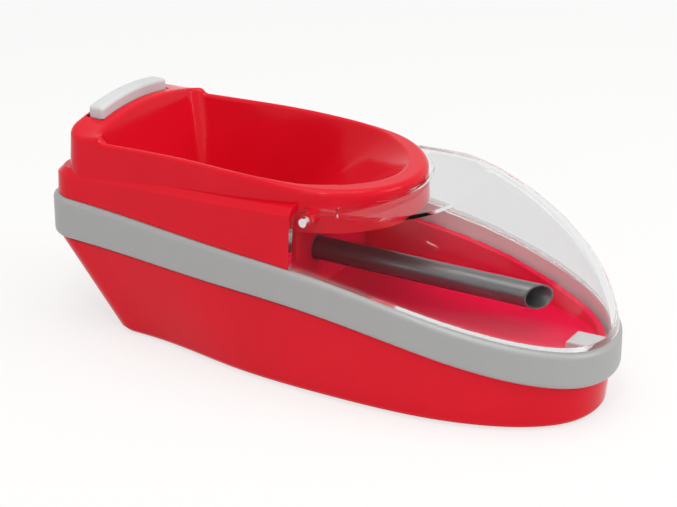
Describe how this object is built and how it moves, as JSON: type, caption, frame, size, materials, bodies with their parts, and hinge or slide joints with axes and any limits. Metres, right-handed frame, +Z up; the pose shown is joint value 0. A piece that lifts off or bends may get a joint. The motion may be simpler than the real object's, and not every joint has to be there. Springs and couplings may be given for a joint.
{
  "type": "electric tube filling machine",
  "caption": "Boat-shaped electric tabletop tube filler: red casing with an open hopper, feed screw, steel nozzle under a hinged clear cover, and a rocker key.",
  "frame": {"origin": "on the table under the middle of the body, on its plane of symmetry", "axes": "+X towards the nose, +Y to the far side, +Z up"},
  "size_m": [0.168, 0.0662, 0.0667],
  "materials": {
    "casing_red": "moulded, glossy red",
    "band_grey": "moulded, silver grey, satin",
    "cover_clear": "clear moulded plastic, polished",
    "key_grey": "moulded, light grey, satin",
    "steel": "bright drawn steel",
    "brass": "turned",
    "wheel_white": "natural acetal",
    "inner_black": "black moulded",
    "foot_rubber": "soft black rubber",
    "board_green": "solder mask over glass fibre"
  },
  "bodies": {
    "base": {"lower_hull": "casing_red", "trim_band": "band_grey", "upper_housing": "casing_red", "chamber_deck": "casing_red", "cover_hinge_pins": "cover_clear", "cover_catch": "key_grey", "nozzle": "steel", "nozzle_collar": "steel", "auger_bush": "brass", "idler_axle": "steel", "idler_clip": "steel", "motor": "steel", "motor_end_cap": "inner_black", "gear_plate": "steel", "plate_screws": "steel", "rocker_pin": "steel", "switch_body": "inner_black", "power_inlet": "inner_black", "circuit_board": "board_green", "board_screws": "steel", "board_components": "inner_black", "base_screws": "steel", "rubber_feet": "foot_rubber"},
    "cover": {"clear_cover": "cover_clear"},
    "rocker": {"rocker_button": "key_grey"},
    "screw": {"auger": "steel", "auger_gear": "wheel_white", "auger_spacer": "wheel_white"},
    "idler": {"idler_gear": "wheel_white"},
    "rotor": {"motor_shaft": "steel", "motor_pinion": "brass"}
  },
  "joints": [
    {"name": "cover_hinge", "type": "hinge", "parent": "base", "child": "cover", "pos_m": [0.0057, 0, 0.0506], "axis": [0, -1, 0], "range_deg": [0, 72]},
    {"name": "rocker_tilt", "type": "hinge", "parent": "base", "child": "rocker", "pos_m": [-0.0728, 0, 0.0572], "axis": [1, 0, 0], "range_deg": [-3.5, 3.5], "stiffness_Nm_per_rad": 0.05},
    {"name": "auger_spin", "type": "hinge", "parent": "base", "child": "screw", "pos_m": [0, 0, 0.03], "axis": [1, 0, 0], "continuous": true},
    {"name": "idler_spin", "type": "hinge", "parent": "base", "child": "idler", "pos_m": [-0.065, 0.01257, 0.01885], "axis": [1, 0, 0], "continuous": true},
    {"name": "rotor_spin", "type": "hinge", "parent": "base", "child": "rotor", "pos_m": [-0.063, 0, 0.01315], "axis": [1, 0, 0], "continuous": true}
  ],
  "couplings": [
    {"joint": "idler_spin", "follows": "auger_spin", "ratio": -2.5},
    {"joint": "rotor_spin", "follows": "auger_spin", "ratio": 9}
  ]
}
